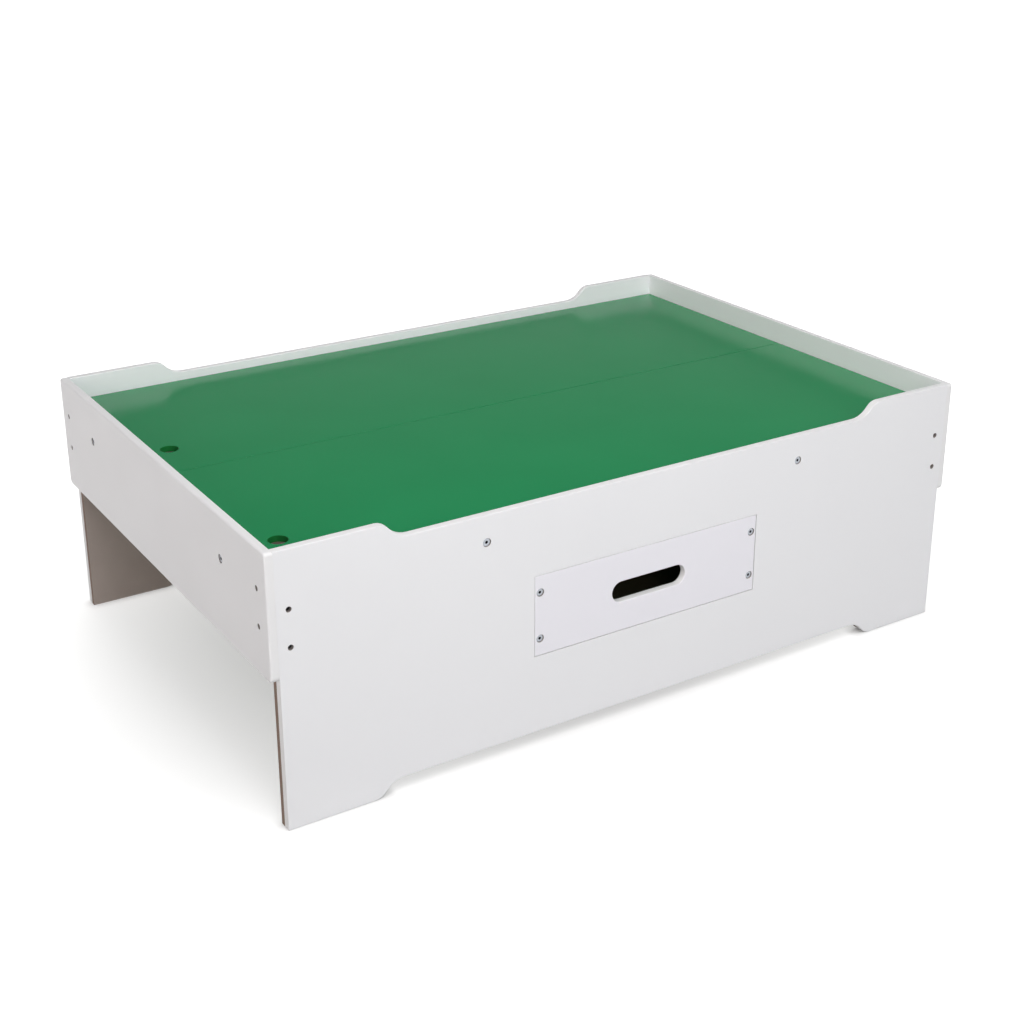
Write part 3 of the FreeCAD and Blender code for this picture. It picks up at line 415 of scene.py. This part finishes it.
# Corner screws: hardened steel, blackened, driven deep below the face into the corner posts.
# They sit in counterbores, two from the long side and two from the end, staggered in height.
# The oxide is dark, with a dull oily sheen.
oxide_light = (0.115, 0.112, 0.110, 1.0)
oxide_dark = (0.040, 0.040, 0.042, 1.0)
oxide_polish_shares = (0.42, 0.58)
black_oxide = plated_steel("black_oxide", oxide_light, oxide_dark, oxide_polish_shares)
for name in ("front_corner_screws", "back_corner_screws", "left_corner_screws", "right_corner_screws"):
    shapes[name].material_slots[0].material = black_oxide


# Runners and dowels: beech, planed or turned, left bare.
# Each runner is a bar with a tongue on the drawer side, held between the linings by dowels at both ends.
# Beech is even and pinkish, with short dark flecks along the grain.
beech_light = (0.600, 0.430, 0.285, 1.0)
beech_dark = (0.480, 0.325, 0.205, 1.0)
fleck_brown = (0.300, 0.180, 0.105, 1.0)
streak_per_metre = 160.0
fleck_per_metre = 1500.0
fleck_depth = 0.00005
streak_stretch_shares = (1.0, 0.05, 1.0)
fleck_stretch_shares = (1.0, 0.16, 1.0)
fleck_shares = (0.62, 0.72)
fleck_tone_shares = (0.0, 0.6)
beech_rough_shares = (0.50, 0.62)


def beech(name):
    """Bare beech with its grain along Y: soft streaks, and short flecks where a drawn-out noise peaks."""
    finish, tree, shader = new_finish(name)
    point = place_on(tree)
    along_streaks = stretched(tree, point, streak_stretch_shares)
    streaks = mottle(tree, along_streaks, streak_per_metre, rich_detail)
    along_flecks = stretched(tree, point, fleck_stretch_shares)
    flecks = mottle(tree, along_flecks, fleck_per_metre, plain_detail)
    wood = blend_colour(tree, streaks, beech_dark, beech_light)
    fleck_tone = spread(tree, flecks, fleck_shares, fleck_tone_shares)
    wire(tree, blend_colour(tree, fleck_tone, wood, fleck_brown), shader.inputs["Base Color"])
    wire(tree, spread(tree, streaks, grain_shares, beech_rough_shares), shader.inputs["Roughness"])
    shader.inputs["Specular IOR Level"].default_value = wood_shine_share
    wire(tree, ripple(tree, flecks, fleck_depth), shader.inputs["Normal"])
    return finish


bare_beech = beech("bare_beech")
for name in ("left_drawer_runner", "right_drawer_runner", "beam_dowels", "runner_dowels"):
    shapes[name].material_slots[0].material = bare_beech


# Drawer front: painted like the panels, inset flush with a thin gap all round.
# A rounded hand slot is routed through it, and four screws hold the drawer sides to it.
# It is sprayed in a batch of its own, and its white is a shade cooler than that of the panels.
cool_light = (0.868, 0.860, 0.912, 1.0)
cool_shade = (0.845, 0.838, 0.892, 1.0)
drawer_head = 0.0060
drawer_recess = 0.0068
front_holes = [(centre, drawer_recess) for centre in heads_in("drawer_front_screws", 1, drawer_head)]
drawer_white = satin_white("drawer_front_white", along_y, front_holes, cad_high.y, cool_light, cool_shade)
shapes["drawer_front"].material_slots[0].material = drawer_white


# Drawer box: sides and back of bare fibreboard, screwed together, with beech stops on the side tops.
# The sides are grooved outside for the runners, and all four boards are grooved for the bottom.
# The stops meet the front lining when the drawer is pulled out.
box_dark = (0.255, 0.195, 0.160, 1.0)
box_light = (0.345, 0.270, 0.225, 1.0)
side_board = raw_fibreboard("drawer_side_board", along_x, box_dark, box_light)
for name in ("left_drawer_side", "right_drawer_side"):
    shapes[name].material_slots[0].material = side_board
back_board = raw_fibreboard("drawer_back_board", along_y, box_dark, box_light)
shapes["drawer_back"].material_slots[0].material = back_board
shapes["drawer_stops"].material_slots[0].material = bare_beech


# Drawer bottom: 4 mm hardboard slid into the grooves, smooth side up.
# Its brown is darkened nearly to black as painted shade inside the drawer, with a smooth skin above and a
# woven screen mark below.
# Hardboard brown darkened nearly to black: painted shade.
shaded_hard_light = (0.052, 0.036, 0.025, 1.0)
shaded_hard_dark = (0.030, 0.020, 0.013, 1.0)
screen_per_metre = 420.0
hard_cloud_per_metre = 60.0
hard_detail = 5.0
weave_depth = 0.0003
hard_rough_shares = (0.42, 0.75)
hardboard, hard_tree, hard_shader = new_finish("hardboard")
hard_point = place_on(hard_tree)
hard_clouds = mottle(hard_tree, hard_point, hard_cloud_per_metre, hard_detail)
# The near-black tone stands in for the shade inside the drawer.
shaded_hard_colour = blend_colour(hard_tree, hard_clouds, shaded_hard_dark, shaded_hard_light)
wire(hard_tree, shaded_hard_colour, hard_shader.inputs["Base Color"])
screen = hard_tree.nodes.new("ShaderNodeTexVoronoi")
screen.inputs["Scale"].default_value = screen_per_metre
screen.inputs["Randomness"].default_value = 0.0
wire(hard_tree, hard_point, screen.inputs["Vector"])
hard_normal = hard_tree.nodes.new("ShaderNodeTexCoord").outputs["Normal"]
hard_up = vector_calc(hard_tree, "DOT_PRODUCT", hard_normal, along_z)
hard_under = calc(hard_tree, "LESS_THAN", hard_up, 0.0)
hard_rough = spread(hard_tree, hard_under, full_shares, hard_rough_shares)
wire(hard_tree, hard_rough, hard_shader.inputs["Roughness"])
hard_weave = calc(hard_tree, "MULTIPLY", screen.outputs["Distance"], hard_under)
wire(hard_tree, ripple(hard_tree, hard_weave, weave_depth), hard_shader.inputs["Normal"])
shapes["drawer_bottom"].material_slots[0].material = hardboard


# Drawer screws: plated ones show at the front, sunk just below the face.
# Blackened ones hold the drawer back and the stops.
drawer_zinc = zinc_heads("drawer_screw_zinc", "drawer_front_screws", 1, drawer_head, along_y)
shapes["drawer_front_screws"].material_slots[0].material = drawer_zinc
for name in ("drawer_back_screws", "drawer_stop_screws"):
    shapes[name].material_slots[0].material = black_oxide


# Play boards: 10 mm fibreboard, sprayed green with a satin lacquer, laid loose inside the rim.
# They meet along the middle, and each has one finger hole near its left end to lift it by.
# The lacquer has a faint spray texture and a soft sheen towards grazing angles.
green_deep = (0.0095, 0.250, 0.083, 1.0)
green_fresh = (0.0130, 0.283, 0.096, 1.0)
# Darker green painted on the finger hole walls as shade.
green_hole_shade = (0.0030, 0.150, 0.026, 1.0)
finger_from_end = 0.0575
finger_from_edge = 0.1010
finger_radius = 0.0150
green_cloud_per_metre = 5.0
green_patch_per_metre = 9.0
lacquer_per_metre = 420.0
lacquer_depth = 0.000005
board_plane_shares = (1.0, 1.0, 0.0)
board_level_shares = (0.6, 0.95)
lacquer_rough_shares = (0.245, 0.257)
side_dull_share = 0.5
lacquer_shine_share = 0.5


def satin_green(board):
    """Green satin lacquer on one board: even on top, dull on the edges, and painted darker in the finger hole
    as shade.
    """
    finish, tree, shader = new_finish(board + "_green")
    point = place_on(tree)
    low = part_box(board)[0]
    finger_hole = [((low.x + finger_from_end, low.y + finger_from_edge, 0.0), finger_radius)]
    in_hole = near_holes(tree, stretched(tree, point, board_plane_shares), finger_hole)
    level = spread(tree, facing(tree, along_z), board_level_shares, full_shares)
    clouds = mottle(tree, point, green_cloud_per_metre, fine_detail)
    top = blend_colour(tree, clouds, green_deep, green_fresh)
    # The finger hole walls take the darker green: painted shade.
    side = blend_colour(tree, in_hole, green_deep, green_hole_shade)
    wire(tree, blend_colour(tree, level, side, top), shader.inputs["Base Color"])
    patches = mottle(tree, point, green_patch_per_metre, plain_detail)
    top_rough = spread(tree, patches, patch_shares, lacquer_rough_shares)
    side_dull = calc(tree, "MULTIPLY", calc(tree, "SUBTRACT", 1.0, level), side_dull_share)
    wire(tree, calc(tree, "ADD", top_rough, side_dull), shader.inputs["Roughness"])
    shader.inputs["Specular IOR Level"].default_value = lacquer_shine_share
    spray = mottle(tree, point, lacquer_per_metre, plain_detail)
    wire(tree, ripple(tree, spray, lacquer_depth), shader.inputs["Normal"])
    return finish


for name in ("front_play_board", "back_play_board"):
    shapes[name].material_slots[0].material = satin_green(name)


# Studio: a white floor that runs out of sight and is clear from below, five soft boxes and a pale surround.
# The floor glows to the camera, least under the table and by its feet, so it is white with a soft shadow.
# Glossy surfaces see a bright band near the horizon that fades overhead.
floor_reach = 40.0
near_table = 0.33
clear_of_table = 0.95
table_outline_shares = (0.70, 0.85, 0.0)
contact_reach = 0.02
near_glow_share = 0.46
far_glow_share = 1.0
surround_level = 0.20
floor_rough_share = 0.9
horizon_shares = (0.20, 0.32)
band_shares = (0.80, 0.016)
plain_white = (1.0, 1.0, 1.0, 1.0)
floor_bounced = (0.45, 0.45, 0.45, 1.0)
floor_shown = (0.60, 0.60, 0.60, 1.0)
edges = np.array([-floor_reach, floor_reach])
across_floor, along_floor = np.meshgrid(edges, edges)
corners = np.stack([across_floor.ravel(), along_floor.ravel(), np.zeros(across_floor.size)], axis=1)
floor_mesh = bpy.data.meshes.new("studio_floor")
floor_mesh.from_pydata(corners.tolist(), [], [(0, 1, 3, 2)])
floor = bpy.data.objects.new("studio_floor", floor_mesh)
bpy.context.scene.collection.objects.link(floor)


def seen_directly(tree):
    """1 for rays that come straight from the camera, or by way of a gloss or clear surface, else 0."""
    path = tree.nodes.new("ShaderNodeLightPath")
    mirrored = calc(tree, "MAXIMUM", path.outputs["Is Glossy Ray"], path.outputs["Is Transmission Ray"])
    return calc(tree, "MAXIMUM", path.outputs["Is Camera Ray"], mirrored)


floor_white, floor_tree, floor_shader = new_finish("floor_white")
floor_seen = seen_directly(floor_tree)
floor_colour = blend_colour(floor_tree, floor_seen, floor_bounced, floor_shown)
wire(floor_tree, floor_colour, floor_shader.inputs["Base Color"])
floor_shader.inputs["Roughness"].default_value = floor_rough_share
floor_shader.inputs["Specular IOR Level"].default_value = 0.0
on_floor = stretched(floor_tree, place_on(floor_tree), table_outline_shares)
from_table = vector_calc(floor_tree, "DISTANCE", on_floor, (0.0, 0.0, 0.0))
glow = spread(floor_tree, from_table, (near_table, clear_of_table), (near_glow_share, far_glow_share))
near_feet = floor_tree.nodes.new("ShaderNodeAmbientOcclusion")
near_feet.inputs["Distance"].default_value = contact_reach
glow = calc(floor_tree, "MULTIPLY", glow, near_feet.outputs["AO"])
wire(floor_tree, calc(floor_tree, "MULTIPLY", floor_seen, glow), floor_shader.inputs["Emission Strength"])
floor_shader.inputs["Emission Color"].default_value = plain_white
see_through = floor_tree.nodes.new("ShaderNodeBsdfTransparent")
floor_sides = floor_tree.nodes.new("ShaderNodeMixShader")
from_below = floor_tree.nodes.new("ShaderNodeNewGeometry").outputs["Backfacing"]
wire(floor_tree, from_below, floor_sides.inputs[0])
wire(floor_tree, floor_shader.outputs[0], floor_sides.inputs[1])
wire(floor_tree, see_through.outputs[0], floor_sides.inputs[2])
wire(floor_tree, floor_sides.outputs[0], floor_tree.nodes["Material Output"].inputs["Surface"])
floor_mesh.materials.append(floor_white)

world = bpy.data.worlds.new("studio")
world.use_nodes = True
bpy.context.scene.world = world
sky = world.node_tree
ambient = sky.nodes["Background"]
ambient.inputs["Color"].default_value = plain_white
ambient.inputs["Strength"].default_value = surround_level
backdrop = sky.nodes.new("ShaderNodeBackground")
backdrop.inputs["Color"].default_value = plain_white
direction = sky.nodes.new("ShaderNodeTexCoord").outputs["Generated"]
height = vector_calc(sky, "DOT_PRODUCT", direction, along_z)
glossy_view = spread(sky, height, horizon_shares, band_shares)
camera_view = sky.nodes.new("ShaderNodeLightPath").outputs["Is Camera Ray"]
wire(sky, calc(sky, "MAXIMUM", glossy_view, camera_view), backdrop.inputs["Strength"])
sky_mix = sky.nodes.new("ShaderNodeMixShader")
wire(sky, seen_directly(sky), sky_mix.inputs[0])
wire(sky, ambient.outputs[0], sky_mix.inputs[1])
wire(sky, backdrop.outputs[0], sky_mix.inputs[2])
wire(sky, sky_mix.outputs[0], sky.nodes["World Output"].inputs["Surface"])

table_middle = (cad_low + cad_high) / 2


def soft_box(name, where, width, watts, tint):
    """A square area light aimed at the middle of the table. It leaves no glare on glossy pieces."""
    lamp = bpy.data.lights.new(name, "AREA")
    lamp.color = tint
    lamp.size = width
    lamp.energy = watts
    holder = bpy.data.objects.new(name, lamp)
    holder.location = where
    holder.rotation_euler = (table_middle - Vector(where)).to_track_quat("-Z", "Y").to_euler()
    holder.visible_glossy = False
    bpy.context.scene.collection.objects.link(holder)


neutral = (1.0, 1.0, 1.0)
warm = (1.0, 0.92, 0.88)
# Each soft box by its name, its place and width in metres, its watts and its tint.
soft_boxes = (
    ("overhead_soft_box", (-0.3, -1.5, 2.3), 1.6, 31.5, neutral),
    ("front_soft_box", (-2.4, -18.8, 7.4), 10.0, 1160.0, neutral),
    ("left_soft_box", (-8.2, -2.8, 3.0), 4.0, 238.0, warm),
    ("back_soft_box", (0.9, 4.8, 1.6), 2.6, 105.0, neutral),
    ("right_soft_box", (4.4, 1.6, 1.1), 2.0, 70.0, neutral),
)
for name, where, width, watts, tint in soft_boxes:
    soft_box(name, where, width, watts, tint)


# Camera: a fairly long lens that looks down on the table, placed so that its edges fit the photograph's.
# The frame is square, and a small shift keeps the table where it stands in the picture.
camera_place = Vector((-1.413, -2.265, 1.354))
camera_turn = math.radians(-32.29)
camera_height = math.radians(20.66)
camera_roll = math.radians(-0.14)
sensor = 36.0
focal_share = 1.5733
frame_shift = -0.080
view_reach = 200.0
backwards = Vector((math.sin(camera_turn) * math.cos(camera_height),
                    -math.cos(camera_turn) * math.cos(camera_height),
                    math.sin(camera_height)))
level = Vector((math.cos(camera_turn), math.sin(camera_turn), 0.0))
upright = backwards.cross(level)
rightwards = level * math.cos(camera_roll) + upright * math.sin(camera_roll)
upwards = upright * math.cos(camera_roll) - level * math.sin(camera_roll)
lens = bpy.data.cameras.new("photo_camera")
lens.sensor_width = sensor
lens.lens = sensor * focal_share
lens.shift_y = frame_shift
lens.clip_end = view_reach
camera = bpy.data.objects.new("photo_camera", lens)
turned = Matrix((rightwards, upwards, backwards)).transposed().to_4x4()
camera.matrix_world = Matrix.Translation(camera_place) @ turned
bpy.context.scene.collection.objects.link(camera)
bpy.context.scene.camera = camera
bpy.context.scene.view_settings.view_transform = "Standard"
